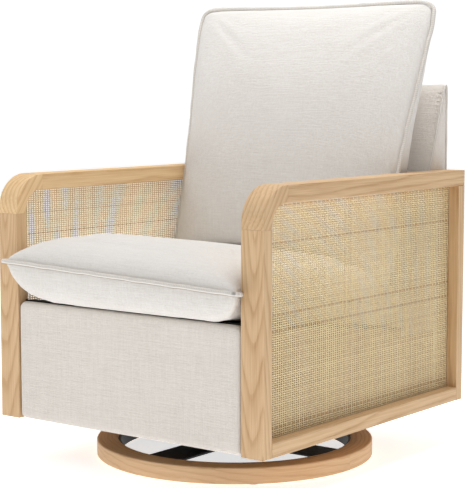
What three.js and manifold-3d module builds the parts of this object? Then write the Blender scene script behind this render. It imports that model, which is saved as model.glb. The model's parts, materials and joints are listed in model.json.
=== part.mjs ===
// A swivel glider chair for a nursery: two wooden arms with woven cane panels, a padded seat
// box with a loose seat cushion and back cushion, a four-link glide mechanism inside the seat
// box, and a swivel on a wooden ring base.
//
// Units are millimetres, +Z is up and the chair faces -Y. The origin lies on the floor, on the
// axis of the swivel. Mirrored pieces are built once with x > 0 and placed by `side`, which is
// +1 on the right and -1 on the left of someone who looks along +Y.

import * as THREE from 'three';
import { mergeVertices } from 'three/addons/utils/BufferGeometryUtils.js';
import Module from 'manifold-3d';

const wasm = await Module();
wasm.setup();

// ---------------------------------------------------------------- driving dimensions

const overallWidth = 720;
const overallDepth = 844;
const seam = 0.3;                  // gap between two pieces that touch
const pinClearance = 0.3;          // radial play of a pin in its hole

// Arms
const armThickness = 56;
const cushionOverhang = 43;        // how far the seat cushion stands out in front of the arms
const backOverhang = 21;           // how far the back frame stands out behind the arms
const armBottomZ = 102;
const armTopZ = 635;
const frontPostDepth = 28;
const rearPostDepth = 26;
const topRailHeight = 35;
const bottomRailHeight = 30;
const cornerOuterRadius = 75;
const cornerInnerRadius = 44;
const cornerOverlap = 5;           // straight length of the corner block past its arcs
const caneThickness = 2.4;
const grooveDepth = 8;
const grooveClearance = 0.4;

// Seat box
const sidePanelThickness = 24;
const frontPanelThickness = 22;
const railThickness = 25;
const deckThickness = 4;
const crossRailHeight = 46;
const crossRailRise = 2;           // height of the cross rails above the bottom of the box
const armBoltRadius = 4;
const armBoltHeadRadius = 8;
const armBoltHeadLength = 5;
const armBoltGrip = 22;            // how far each bolt reaches into the arm
const armBoltRise = 15;
const armBoltY = 290;

// Seat cushion
const seatSeamFrontZ = 440;        // the seam round the cushion, at its front edge
const seatSlope = 0.134;           // fall of the seat per millimetre toward the back
const seatAboveSeam = 86;
const seatBelowSeam = 68;
const seatRearGap = 10;            // from the cushion's rear seam to the foot of the back frame
const seatEdgeRound = 80;
const seamBand = 6;

// Back frame
const backTopZ = 834;
const backSlope = 0.34;            // run of the sloping front face per millimetre of height
const backFootDepth = 200;         // depth of the back frame where it stands on the seat deck
const backPanelThickness = 3;
const backTopRound = 8;
const backLowerThickness = 56;

// Back cushion
const backCushionTop = { fromRear: 116, z: 1012 };
const backCushionFoot = { fromRear: 270, z: 458 };
const backAheadOfSeam = 62;
const backBehindSeam = 118;
const backEdgeRound = 70;
const backTopHalfWidth = 326;

// Springs
const springCount = 4;
const springSpacing = 125;
const springWireRadius = 2;
const springSwing = 26;
const springPitch = 76;
const springDrop = 5;

// Ring base
const ringOuterRadius = 312;
const ringWidth = 48;
const ringTopZ = 38.4;
const ringEdgeRound = 4;
const footPadHeight = 2.7;
const footPadRadius = 15;
const footPadCount = 4;
const hoopWall = 6;
const crossBarWidth = 85;
const crossBarTopZ = 34;
const crossBarThickness = 5;

// Swivel
const bearingPlateRadius = 100;
const bearingPlateThickness = 4;
const raceOuterRadius = 90;
const raceInnerRadius = 70;
const raceHeight = 8;
const kingBoltRadius = 8;
const kingBoltHeadRadius = 14;
const kingBoltHeadHeight = 6;
const kingNutHeight = 10;

// Glide mechanism
const linkLength = 125;
const linkSpread = 110;            // distance of each pair of links from the swivel axis, along Y
const upperPivotZ = 250;
const linkWidth = 28;
const linkThickness = 6;
const pivotRadius = 6;
const pivotHeadRadius = 10;
const pivotHeadLength = 3.4;
const postOuterX = 218;
const postThickness = 6;
const cradleBarDepth = 30;
const cradleBarHeight = 20;
const cradlePlateThickness = 6;
const cradlePlateHalfWidth = 140;
const postHeadroom = 14;           // height of each post above its pivot
const linkGap = 6;                 // between post and link
const railGap = 4;                 // between link and carriage rail
const carriageRailHeight = 42;
const crossRailY = 195;            // inner face of each cross rail
const glideAngle = 22;             // degrees of link swing to each stop
const bumperGap = 1.5;             // what is left between bumper and cross rail at a stop
const bumperRadius = 15;
const bumperTabWidth = 40;

// ---------------------------------------------------------------- materials

const finish = (color, roughness, metalness = 0) =>
  new THREE.MeshStandardMaterial({ color, roughness, metalness });

const ash = () => finish('#dcbb8c', 0.55);
const pine = () => finish('#cfae7c', 0.75);
const cane = () => finish('#d9bd8c', 0.7);
const linen = () => finish('#e4ddd2', 0.92);
const deckCloth = () => finish('#2b2a29', 0.95);
const blackSteel = () => finish('#16171a', 0.45, 0.6);
const zincSteel = () => finish('#a9adb0', 0.35, 0.9);
const springSteel = () => finish('#5d6064', 0.4, 0.9);
const rubber = () => finish('#1c1c1c', 0.9);
const felt = () => finish('#6f6a63', 0.98);

// ---------------------------------------------------------------- shape helpers

const chair = new THREE.Group();

function place(name, geometry, material, parent = chair) {
  const mesh = new THREE.Mesh(geometry, material);
  mesh.name = name;
  parent.add(mesh);
  return mesh;
}

// A box between two corners.
function block(x0, x1, y0, y1, z0, z1) {
  const geometry = new THREE.BoxGeometry(x1 - x0, y1 - y0, z1 - z0);
  return geometry.translate((x0 + x1) / 2, (y0 + y1) / 2, (z0 + z1) / 2);
}

function polygon(points) {
  return new THREE.Shape(points.map(([u, v]) => new THREE.Vector2(u, v)));
}

function rectangle(u0, u1, v0, v1) {
  return polygon([[u0, v0], [u1, v0], [u1, v1], [u0, v1]]);
}

function addRoundHole(shape, u, v, radius) {
  shape.holes.push(new THREE.Path().absarc(u, v, radius, 0, 2 * Math.PI, true));
}

function extrude(shape, depth, curveSegments = 8) {
  return new THREE.ExtrudeGeometry(shape, { depth, curveSegments, bevelEnabled: false });
}

// A side profile drawn in (y, z), carried from x0 to x1.
function acrossX(shape, x0, x1) {
  const turn = new THREE.Matrix4().makeBasis(
    new THREE.Vector3(0, 1, 0), new THREE.Vector3(0, 0, 1), new THREE.Vector3(1, 0, 0));
  return extrude(shape, x1 - x0).applyMatrix4(turn).translate(x0, 0, 0);
}

// A front profile drawn in (x, z), carried from y0 to y1.
function alongY(shape, y0, y1) {
  return extrude(shape, y1 - y0).rotateX(Math.PI / 2).translate(0, y1, 0);
}

// A turned piece about +Z. The profile is a closed loop or starts and ends on the axis.
function turned(points, segments = 36) {
  return new THREE.LatheGeometry(points.map(([r, z]) => new THREE.Vector2(r, z)), segments)
    .rotateX(Math.PI / 2);
}

function ringProfile(inner, outer, z0, z1) {
  return [[inner, z0], [outer, z0], [outer, z1], [inner, z1], [inner, z0]];
}

function cylinder(radius, z0, z1, segments = 24) {
  return turned([[0, z0], [radius, z0], [radius, z1], [0, z1]], segments);
}

// A cylinder along X.
function pinX(radius, x0, x1, y, z, segments = 24) {
  return cylinder(radius, x0, x1, segments).rotateY(Math.PI / 2).translate(0, y, z);
}

// ---------------------------------------------------------------- joining and cutting

function solidOf(geometry) {
  const bare = geometry.clone();
  bare.deleteAttribute('normal');
  bare.deleteAttribute('uv');
  const merged = mergeVertices(bare, 1e-4);
  return new wasm.Manifold(new wasm.Mesh({
    numProp: 3,
    vertProperties: new Float32Array(merged.attributes.position.array),
    triVerts: new Uint32Array(merged.index.array),
  }));
}

function geometryOf(solid) {
  const { vertProperties, triVerts } = solid.getMesh();
  const geometry = new THREE.BufferGeometry();
  geometry.setAttribute('position', new THREE.BufferAttribute(new Float32Array(vertProperties), 3));
  geometry.setIndex(new THREE.BufferAttribute(new Uint32Array(triVerts), 1));
  geometry.computeVertexNormals();
  return geometry;
}

function cut(geometry, ...tools) {
  return geometryOf(tools.reduce((rest, tool) => rest.subtract(solidOf(tool)), solidOf(geometry)));
}

function join(geometry, ...others) {
  return geometryOf(others.reduce((whole, other) => whole.add(solidOf(other)), solidOf(geometry)));
}

// Turns a piece built with x > 0 into its mirror image on the left.
function mirrored(geometry, side) {
  if (side > 0) return geometry;
  const half = geometry.index ? geometry.toNonIndexed() : geometry.clone();
  half.scale(-1, 1, 1);
  const position = half.attributes.position;
  const swap = new THREE.Vector3();
  const other = new THREE.Vector3();
  for (let corner = 0; corner < position.count; corner += 3) {
    swap.fromBufferAttribute(position, corner + 1);
    other.fromBufferAttribute(position, corner + 2);
    position.setXYZ(corner + 1, other.x, other.y, other.z);
    position.setXYZ(corner + 2, swap.x, swap.y, swap.z);
  }
  half.computeVertexNormals();
  return half;
}

const sides = [['right', 1], ['left', -1]];
const ends = [['front', -1], ['rear', 1]];

// ---------------------------------------------------------------- derived places

const seatFrontY = -overallDepth / 2;
const backRearY = overallDepth / 2;
const armFrontY = seatFrontY + cushionOverhang;
const armRearY = backRearY - backOverhang;
const backFootY = backRearY - backFootDepth;
const seatRearY = backFootY + seatRearGap;

const armOuterX = overallWidth / 2;
const armInnerX = armOuterX - armThickness;
const caneX = (armInnerX + armOuterX) / 2;
const boxHalfWidth = armInnerX - seam;
const boxInnerX = boxHalfWidth - sidePanelThickness;
const boxFrontY = armFrontY + frontPanelThickness - seam;
const boxRearY = backRearY - backPanelThickness - backLowerThickness - 2 * seam;

const seamPlaneZ = (y) => seatSeamFrontZ - seatSlope * (y - seatFrontY);
const deckTopZ = (y) => seamPlaneZ(y) - seatBelowSeam - 2 * seam;
const deckUnderZ = (y) => deckTopZ(y) - deckThickness;
const deckRearY = backFootY - seam;
const backFootZ = deckTopZ(backFootY);
const backShelfZ = backFootZ - railThickness;

const postInnerX = postOuterX - postThickness;
const glideReach = linkLength * Math.sin(THREE.MathUtils.degToRad(glideAngle));
const linkInnerX = postOuterX + linkGap;
const linkOuterX = linkInnerX + linkThickness;
const carriageRailX = linkOuterX + railGap;
const carriageRailOuterX = carriageRailX + linkThickness;
const lowerPivotZ = upperPivotZ - linkLength;
const crossRailZ = armBottomZ + crossRailRise;

const plateZ = crossBarTopZ + seam;
const raceZ = plateZ + bearingPlateThickness + seam;
const swivelPlateZ = raceZ + raceHeight + seam;
const cradlePlateZ = swivelPlateZ + bearingPlateThickness + seam;
const cradleBarZ = cradlePlateZ + cradlePlateThickness + seam;
const kingHoleRadius = kingBoltRadius + pinClearance;

// ---------------------------------------------------------------- arms

// The opening of the arm frame in (y, z), grown outward by `grow`; its front top corner is round.
function armOpening(grow) {
  const y0 = armFrontY + frontPostDepth - grow;
  const y1 = armRearY - rearPostDepth + grow;
  const z0 = armBottomZ + bottomRailHeight - grow;
  const z1 = armTopZ - topRailHeight + grow;
  const radius = cornerInnerRadius + grow;
  const shape = new THREE.Shape();
  shape.moveTo(y0, z0);
  shape.lineTo(y1, z0);
  shape.lineTo(y1, z1);
  shape.lineTo(y0 + radius, z1);
  shape.absarc(y0 + radius, z1 - radius, radius, Math.PI / 2, Math.PI, false);
  shape.lineTo(y0, z0);
  return shape;
}

function caneSlab(grow, thickness) {
  return acrossX(armOpening(grow), caneX - thickness / 2, caneX + thickness / 2);
}

// Where the corner block meets the front post (below it) and the top rail (behind it).
const cornerFootZ = armTopZ - Math.max(cornerOuterRadius, topRailHeight + cornerInnerRadius)
  - cornerOverlap;
const cornerBackY = armFrontY + Math.max(cornerOuterRadius, frontPostDepth + cornerInnerRadius)
  + cornerOverlap;

function cornerBlock() {
  const innerY = armFrontY + frontPostDepth;
  const innerZ = armTopZ - topRailHeight;
  const shape = new THREE.Shape();
  shape.moveTo(armFrontY, cornerFootZ);
  shape.lineTo(innerY, cornerFootZ);
  shape.lineTo(innerY, innerZ - cornerInnerRadius);
  shape.absarc(innerY + cornerInnerRadius, innerZ - cornerInnerRadius, cornerInnerRadius,
    Math.PI, Math.PI / 2, true);
  shape.lineTo(cornerBackY, innerZ);
  shape.lineTo(cornerBackY, armTopZ);
  shape.lineTo(armFrontY + cornerOuterRadius, armTopZ);
  shape.absarc(armFrontY + cornerOuterRadius, armTopZ - cornerOuterRadius, cornerOuterRadius,
    Math.PI / 2, Math.PI, false);
  return acrossX(shape, armInnerX, armOuterX);
}

function armBar(y0, y1, z0, z1) {
  return block(armInnerX, armOuterX, y0, y1, z0, z1);
}

// Each frame member is cut by the cane panel's outline, which leaves the groove that holds it.
function buildArm(label, side) {
  const groove = caneSlab(grooveDepth + grooveClearance, caneThickness + 2 * grooveClearance);
  const innerFrontY = armFrontY + frontPostDepth;
  const innerRearY = armRearY - rearPostDepth;
  const underRailZ = armTopZ - topRailHeight;
  const bottomRail = armBar(innerFrontY + seam, innerRearY - seam,
    armBottomZ, armBottomZ + bottomRailHeight);
  const boltHoles = ends.map(([, end]) => pinX(armBoltRadius + pinClearance, armInnerX - 1,
    armInnerX + armBoltGrip + 1, end * armBoltY, armBottomZ + armBoltRise, 16));
  const members = {
    front_post: cut(armBar(armFrontY, innerFrontY, armBottomZ, cornerFootZ - seam), groove),
    corner_block: cut(cornerBlock(), groove),
    top_rail: cut(armBar(cornerBackY + seam, armRearY, underRailZ, armTopZ), groove),
    rear_post: cut(armBar(innerRearY, armRearY, armBottomZ, underRailZ - seam), groove),
    bottom_rail: cut(bottomRail, groove, ...boltHoles),
  };
  for (const [member, geometry] of Object.entries(members)) {
    place(`${label}_arm_${member}`, mirrored(geometry, side), ash());
  }
  place(`${label}_cane_panel`, mirrored(caneSlab(grooveDepth, caneThickness), side), cane());
}

// Bolts run from inside the seat box, through its side panel, into the arm's bottom rail.
function buildArmBolts(label, side) {
  const headX = boxInnerX - seam - armBoltHeadLength;
  const tipX = armInnerX + armBoltGrip;
  const profile = [
    [0, headX], [armBoltHeadRadius, headX], [armBoltHeadRadius, boxInnerX - seam],
    [armBoltRadius, boxInnerX - seam], [armBoltRadius, tipX], [0, tipX],
  ];
  for (const [end, sign] of ends) {
    const bolt = turned(profile, 16).rotateY(Math.PI / 2)
      .translate(0, sign * armBoltY, armBottomZ + armBoltRise);
    place(`${label}_arm_bolt_${end}`, mirrored(bolt, side), zincSteel());
  }
}

// ---------------------------------------------------------------- seat box

function sidePanel() {
  const shape = polygon([
    [boxFrontY, armBottomZ], [boxRearY, armBottomZ], [boxRearY, backShelfZ - seam],
    [deckRearY, backShelfZ - seam], [deckRearY, deckUnderZ(deckRearY) - seam],
    [boxFrontY, deckUnderZ(boxFrontY) - seam],
  ]);
  for (const [, end] of ends) {
    addRoundHole(shape, end * armBoltY, armBottomZ + armBoltRise, armBoltRadius + pinClearance);
  }
  return acrossX(shape, boxInnerX, boxHalfWidth);
}

// A rail across the box whose top follows the sloping deck.
function deckRail(y0, height) {
  const y1 = y0 + railThickness;
  const top = (y) => deckUnderZ(y) - seam;
  const foot = top(y1) - height;
  const shape = polygon([[y0, foot], [y1, foot], [y1, top(y1)], [y0, top(y0)]]);
  return acrossX(shape, -boxInnerX + seam, boxInnerX - seam);
}

function crossRail(end) {
  const near = end * crossRailY;
  const far = end * (crossRailY + railThickness);
  return block(-boxInnerX + seam, boxInnerX - seam, Math.min(near, far), Math.max(near, far),
    crossRailZ, crossRailZ + crossRailHeight);
}

// The padded panel between the arms, below the seat cushion, with small round top corners.
function frontPanel() {
  const radius = 12;
  const topZ = deckTopZ(boxFrontY);
  const shape = new THREE.Shape();
  shape.moveTo(-boxHalfWidth, armBottomZ);
  shape.lineTo(boxHalfWidth, armBottomZ);
  shape.lineTo(boxHalfWidth, topZ - radius);
  shape.absarc(boxHalfWidth - radius, topZ - radius, radius, 0, Math.PI / 2, false);
  shape.lineTo(radius - boxHalfWidth, topZ);
  shape.absarc(radius - boxHalfWidth, topZ - radius, radius, Math.PI / 2, Math.PI, false);
  return alongY(shape, armFrontY - seam, boxFrontY - seam);
}

function seatDeck() {
  const shape = polygon([
    [boxFrontY, deckUnderZ(boxFrontY)], [deckRearY, deckUnderZ(deckRearY)],
    [deckRearY, deckTopZ(deckRearY)], [boxFrontY, deckTopZ(boxFrontY)],
  ]);
  return acrossX(shape, -boxHalfWidth, boxHalfWidth);
}

function buildSeatBox() {
  for (const [label, side] of sides) {
    place(`${label}_side_panel`, mirrored(sidePanel(), side), pine());
  }
  place('front_top_rail', deckRail(boxFrontY, 52), pine());
  place('rear_top_rail', deckRail(deckRearY - railThickness, 40), pine());
  for (const [label, end] of ends) {
    place(`${label}_cross_rail`, crossRail(end), pine());
  }
  place('rear_bottom_rail', block(-boxInnerX + seam, boxInnerX - seam,
    boxRearY - railThickness, boxRearY, crossRailZ, crossRailZ + crossRailHeight), pine());
  place('front_panel', frontPanel(), linen());
  place('seat_deck', seatDeck(), deckCloth());
}

// A zigzag wire spring under the deck, from the front rail to the rear rail.
class ZigzagCurve extends THREE.Curve {
  constructor(x, y0, y1, waves) {
    super();
    Object.assign(this, { x, y0, y1, waves });
  }

  getPoint(t, target = new THREE.Vector3()) {
    const y = this.y0 + t * (this.y1 - this.y0);
    const swing = springSwing * Math.sin(2 * Math.PI * this.waves * t);
    return target.set(this.x + swing, y, deckUnderZ(y) - springDrop);
  }
}

function buildSprings() {
  const y0 = boxFrontY + railThickness + 2;
  const y1 = deckRearY - railThickness - 2;
  const waves = Math.max(1, Math.round((y1 - y0) / springPitch));
  const section = new THREE.Shape().absarc(0, 0, springWireRadius, 0, 2 * Math.PI, false);
  for (let index = 0; index < springCount; index += 1) {
    const x = (index - (springCount - 1) / 2) * springSpacing;
    const options = {
      steps: waves * 8, curveSegments: 3, bevelEnabled: false,
      extrudePath: new ZigzagCurve(x, y0, y1, waves),
    };
    place(`seat_spring_${index + 1}`, new THREE.ExtrudeGeometry(section, options), springSteel());
  }
}

// ---------------------------------------------------------------- back frame

// A padded wedge: upright behind, sloping in front, standing on the seat box with a thick skirt.
function backFrame() {
  const rearY = backRearY - backPanelThickness - seam;
  const frontY = (z) => backFootY + backSlope * (z - backFootZ);
  const shoulderZ = backTopZ - 2 * backTopRound;
  const shape = new THREE.Shape();
  shape.moveTo(rearY - backLowerThickness, armBottomZ);
  shape.lineTo(rearY, armBottomZ);
  shape.lineTo(rearY, backTopZ - backTopRound);
  shape.quadraticCurveTo(rearY, backTopZ, rearY - backTopRound / 2, backTopZ);
  shape.quadraticCurveTo(frontY(backTopZ), backTopZ, frontY(shoulderZ), shoulderZ);
  shape.lineTo(backFootY, backFootZ);
  shape.lineTo(backFootY, backShelfZ);
  shape.lineTo(rearY - backLowerThickness, backShelfZ);
  return acrossX(shape, -boxHalfWidth, boxHalfWidth);
}

function buildBack() {
  const margin = 6;
  place('back_frame', backFrame(), linen());
  place('outside_back_panel', block(margin - boxHalfWidth, boxHalfWidth - margin,
    backRearY - backPanelThickness, backRearY, armBottomZ, backTopZ - 2 * backTopRound), linen());
}

// ---------------------------------------------------------------- cushions

// A knife-edged cushion: its seam lies at z = 0 and it swells by `above` and `below` the seam.
function pillow(outline, edgeRound, above, below) {
  const geometry = new THREE.ExtrudeGeometry(outline, {
    depth: seamBand, bevelThickness: 1, bevelSize: edgeRound, bevelOffset: -edgeRound,
    bevelSegments: 6, curveSegments: 4,
  });
  const position = geometry.attributes.position;
  for (let i = 0; i < position.count; i += 1) {
    const z = position.getZ(i);
    const swollen = z > seamBand ? seamBand / 2 + (z - seamBand) * (above - seamBand / 2)
      : z < 0 ? -seamBand / 2 + z * (below - seamBand / 2)
        : z - seamBand / 2;
    position.setZ(i, swollen);
  }
  geometry.computeVertexNormals();
  return geometry;
}

function buildSeatCushion() {
  const tilt = Math.atan(seatSlope);
  const length = (seatRearY - seatFrontY) / Math.cos(tilt);
  const halfWidth = boxHalfWidth - 1.5;
  const outline = rectangle(-halfWidth, halfWidth, 0, length);
  const drop = seatBelowSeam * Math.cos(tilt);
  const cushion = place('seat_cushion',
    pillow(outline, seatEdgeRound, seatAboveSeam, drop - seam), linen());
  cushion.position.set(0, seatFrontY, seatSeamFrontZ);
  cushion.rotation.x = -tilt;
}

// The cushion is as wide as the seat between the arms and spreads above them.
function buildBackCushion() {
  const run = backCushionFoot.fromRear - backCushionTop.fromRear;
  const rise = backCushionTop.z - backCushionFoot.z;
  const lean = Math.atan2(run, rise);
  const length = Math.hypot(run, rise);
  const lowHalf = boxHalfWidth - 1.5;
  const clearOfArms = (armTopZ - backCushionFoot.z + 12) / Math.cos(lean);
  const spreadAt = (clearOfArms + length) / 2;
  const outline = polygon([
    [-lowHalf, 0], [lowHalf, 0], [lowHalf, clearOfArms], [backTopHalfWidth, spreadAt],
    [backTopHalfWidth, length], [-backTopHalfWidth, length], [-backTopHalfWidth, spreadAt],
    [-lowHalf, clearOfArms],
  ]);
  const cushion = place('back_cushion',
    pillow(outline, backEdgeRound, backAheadOfSeam, backBehindSeam), linen());
  cushion.position.set(0, backRearY - backCushionFoot.fromRear, backCushionFoot.z);
  cushion.rotation.x = Math.PI / 2 - lean;
}

// ---------------------------------------------------------------- ring base

function buildBase() {
  const inner = ringOuterRadius - ringWidth;
  const footZ = footPadHeight + seam;
  const outerTop = Array.from({ length: 4 }, (_, i) => {
    const angle = (i / 3) * (Math.PI / 2);
    return [ringOuterRadius - ringEdgeRound * (1 - Math.cos(angle)),
      ringTopZ - ringEdgeRound * (1 - Math.sin(angle))];
  });
  const ring = [[inner, footZ], [ringOuterRadius, footZ], ...outerTop, [inner, ringTopZ],
    [inner, footZ]];
  place('base_ring', turned(ring, 72), ash());

  const hoopOuter = inner - seam;
  const hoopInner = hoopOuter - hoopWall;
  place('base_hoop', turned(ringProfile(hoopInner, hoopOuter, footZ, crossBarTopZ), 72),
    blackSteel());

  const half = crossBarWidth / 2;
  const reach = hoopInner;
  const plus = polygon([
    [half, half], [half, reach], [-half, reach], [-half, half], [-reach, half], [-reach, -half],
    [-half, -half], [-half, -reach], [half, -reach], [half, -half], [reach, -half], [reach, half],
  ]);
  addRoundHole(plus, 0, 0, kingHoleRadius);
  const plusPlate = extrude(plus, crossBarThickness)
    .translate(0, 0, crossBarTopZ - crossBarThickness);
  const outside = turned(ringProfile(hoopInner - seam, ringOuterRadius,
    0, ringTopZ), 72);
  place('base_cross', cut(plusPlate, outside), blackSteel());

  for (let index = 0; index < footPadCount; index += 1) {
    const angle = ((index + 0.5) / footPadCount) * 2 * Math.PI;
    const radius = ringOuterRadius - ringWidth / 2;
    const pad = cylinder(footPadRadius, 0, footPadHeight, 24)
      .translate(radius * Math.cos(angle), radius * Math.sin(angle), 0);
    place(`foot_pad_${index + 1}`, pad, felt());
  }
}

function buildSwivel() {
  const plate = (z) => turned(ringProfile(kingHoleRadius, bearingPlateRadius, z,
    z + bearingPlateThickness));
  place('bearing_plate', plate(plateZ), blackSteel());
  place('bearing_race', turned(ringProfile(raceInnerRadius, raceOuterRadius, raceZ,
    raceZ + raceHeight)), zincSteel());
  place('swivel_plate', plate(swivelPlateZ), blackSteel());

  const headTopZ = crossBarTopZ - crossBarThickness - seam;
  const nutZ = cradlePlateZ + cradlePlateThickness + seam;
  place('king_bolt', turned([
    [0, headTopZ - kingBoltHeadHeight], [kingBoltHeadRadius, headTopZ - kingBoltHeadHeight],
    [kingBoltHeadRadius, headTopZ], [kingBoltRadius, headTopZ], [kingBoltRadius, nutZ],
    [kingBoltHeadRadius, nutZ], [kingBoltHeadRadius, nutZ + kingNutHeight],
    [0, nutZ + kingNutHeight],
  ], 24), zincSteel());
}

// ---------------------------------------------------------------- glide mechanism

// One cradle frame: a bar across, a post at each end for the link pivots, and a middle tab that
// carries the stop bumper.
function cradleFrame(end) {
  const postTopZ = upperPivotZ + postHeadroom;
  const barTopZ = cradleBarZ + cradleBarHeight;
  const tab = bumperTabWidth / 2;
  const tabTopZ = crossRailZ + crossRailHeight;
  const shape = polygon([
    [-postOuterX, cradleBarZ], [postOuterX, cradleBarZ], [postOuterX, postTopZ],
    [postInnerX, postTopZ], [postInnerX, barTopZ], [tab, barTopZ], [tab, tabTopZ],
    [-tab, tabTopZ], [-tab, barTopZ], [-postInnerX, barTopZ], [-postInnerX, postTopZ],
    [-postOuterX, postTopZ],
  ]);
  const y = end * linkSpread;
  const frame = alongY(shape, y - cradleBarDepth / 2, y + cradleBarDepth / 2);
  const bore = pinX(pivotRadius + pinClearance, -postOuterX - 1, postOuterX + 1, y, upperPivotZ);
  return cut(frame, bore);
}

// The upper pivot rod passes through both posts and carries one link outside each of them.
function pivotRod(end) {
  const collarX = postOuterX + seam;
  const collarEndX = linkInnerX - seam;
  const headX = linkOuterX + seam;
  const half = [
    [pivotHeadRadius, collarX], [pivotHeadRadius, collarEndX], [pivotRadius, collarEndX],
    [pivotRadius, headX], [pivotHeadRadius, headX], [pivotHeadRadius, headX + pivotHeadLength],
    [0, headX + pivotHeadLength],
  ];
  const mirror = half.map(([r, x]) => [r, -x]).reverse();
  const profile = [...mirror, [pivotRadius, -collarX], [pivotRadius, collarX], ...half];
  return turned(profile, 20).rotateY(Math.PI / 2).translate(0, end * linkSpread, upperPivotZ);
}

// A flat hanging link with round ends and a bore at each pivot.
function link(end) {
  const radius = linkWidth / 2;
  const y = end * linkSpread;
  const shape = new THREE.Shape();
  shape.absarc(y, upperPivotZ, radius, 0, Math.PI, false);
  shape.absarc(y, lowerPivotZ, radius, Math.PI, 2 * Math.PI, false);
  addRoundHole(shape, y, upperPivotZ, pivotRadius + pinClearance);
  addRoundHole(shape, y, lowerPivotZ, pivotRadius + pinClearance);
  return acrossX(shape, linkInnerX, linkOuterX);
}

// A steel rail between the cross rails, with a riveted stud for each lower pivot.
function carriageRail() {
  const length = crossRailY - seam;
  const rail = block(carriageRailX, carriageRailOuterX, -length, length,
    crossRailZ + seam, crossRailZ + seam + carriageRailHeight);
  const headEndX = linkInnerX - seam;
  const stud = [
    [0, headEndX - pivotHeadLength], [pivotHeadRadius, headEndX - pivotHeadLength],
    [pivotHeadRadius, headEndX], [pivotRadius, headEndX], [pivotRadius, linkOuterX + seam],
    [pivotHeadRadius, linkOuterX + seam], [pivotHeadRadius, carriageRailX + 1],
    [pivotRadius, carriageRailX + 1], [pivotRadius, carriageRailOuterX - 1],
    [pivotHeadRadius, carriageRailOuterX - 1],
    [pivotHeadRadius, carriageRailOuterX + pivotHeadLength],
    [0, carriageRailOuterX + pivotHeadLength],
  ];
  const studs = ends.map(([, end]) => turned(stud, 20).rotateY(Math.PI / 2)
    .translate(0, end * linkSpread, lowerPivotZ));
  return join(rail, ...studs);
}

// Rubber bumper on the middle tab of a cradle frame; a cross rail meets it at the end of travel.
function bumper(end) {
  const near = linkSpread + cradleBarDepth / 2 + seam;
  const far = crossRailY - glideReach - bumperGap;
  const height = crossRailZ + crossRailHeight / 2;
  return cylinder(bumperRadius, near, far, 20).rotateX(-end * Math.PI / 2)
    .translate(0, 0, height);
}

function buildMechanism() {
  const halfLength = linkSpread + cradleBarDepth / 2;
  const plate = rectangle(-cradlePlateHalfWidth, cradlePlateHalfWidth, -halfLength, halfLength);
  addRoundHole(plate, 0, 0, kingHoleRadius);
  place('cradle_plate', extrude(plate, cradlePlateThickness).translate(0, 0, cradlePlateZ),
    blackSteel());
  for (const [end, sign] of ends) {
    place(`${end}_cradle_frame`, cradleFrame(sign), blackSteel());
    place(`${end}_pivot_rod`, pivotRod(sign), zincSteel());
    place(`${end}_stop_bumper`, bumper(sign), rubber());
    for (const [label, side] of sides) {
      place(`${end}_${label}_link`, mirrored(link(sign), side), blackSteel());
    }
  }
  for (const [label, side] of sides) {
    place(`${label}_carriage_rail`, mirrored(carriageRail(), side), blackSteel());
  }
}

// ---------------------------------------------------------------- the chair

for (const [label, side] of sides) {
  buildArm(label, side);
  buildArmBolts(label, side);
}
buildSeatBox();
buildSprings();
buildBack();
buildSeatCushion();
buildBackCushion();
buildBase();
buildSwivel();
buildMechanism();

export default chair;
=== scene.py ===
# %% [markdown]
# # A swivel glider chair, dressed for the camera
# The frame that this script loads is the chair as a maker would cut it: wooden members, plates,
# pins and springs, each in its place in metres. The chair faces -Y and the origin lies on the
# floor, on the axis of the swivel. What follows gives each piece its finish. Wood gets eased
# edges and grain, cane is really woven, and each soft piece is sewn and filled.

# %% Load the frame and measure its box
import json
import math

import bmesh
import bpy
import numpy as np
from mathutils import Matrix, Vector

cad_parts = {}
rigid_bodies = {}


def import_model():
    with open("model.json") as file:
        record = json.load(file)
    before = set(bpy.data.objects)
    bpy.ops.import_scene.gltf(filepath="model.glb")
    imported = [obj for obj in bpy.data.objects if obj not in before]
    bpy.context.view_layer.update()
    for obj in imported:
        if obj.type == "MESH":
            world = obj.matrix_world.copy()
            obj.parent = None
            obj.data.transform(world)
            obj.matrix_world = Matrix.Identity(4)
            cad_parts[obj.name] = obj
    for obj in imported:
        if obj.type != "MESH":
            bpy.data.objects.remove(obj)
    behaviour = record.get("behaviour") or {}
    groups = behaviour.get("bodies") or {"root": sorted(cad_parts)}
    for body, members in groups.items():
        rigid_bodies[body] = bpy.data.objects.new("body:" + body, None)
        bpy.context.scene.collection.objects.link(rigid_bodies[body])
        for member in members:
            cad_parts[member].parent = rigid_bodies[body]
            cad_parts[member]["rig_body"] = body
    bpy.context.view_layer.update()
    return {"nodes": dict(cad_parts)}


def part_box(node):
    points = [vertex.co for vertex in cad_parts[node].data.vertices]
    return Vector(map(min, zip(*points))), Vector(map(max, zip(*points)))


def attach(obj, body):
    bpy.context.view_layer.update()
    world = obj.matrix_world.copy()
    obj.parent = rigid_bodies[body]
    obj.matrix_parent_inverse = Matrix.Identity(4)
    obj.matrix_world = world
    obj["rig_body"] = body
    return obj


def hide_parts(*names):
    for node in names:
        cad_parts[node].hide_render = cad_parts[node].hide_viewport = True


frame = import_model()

MM = 0.001
same_place, same_plane = 0.01 * MM, 0.1 * MM    # nearer than this is the same
scene = bpy.context.scene
body_of = {name: node["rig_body"] for name, node in frame["nodes"].items()}
sides = {"right": 1, "left": -1}


# %% [markdown]
# ## Camera and studio
# The chair is seen from its front and from the side of its right arm, a little above the arms,
# with a long lens, so upright edges stay upright. A camera is placed most surely by its own axes:
# the direction back from the chair is written from two angles, and the camera is turned to it.

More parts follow.
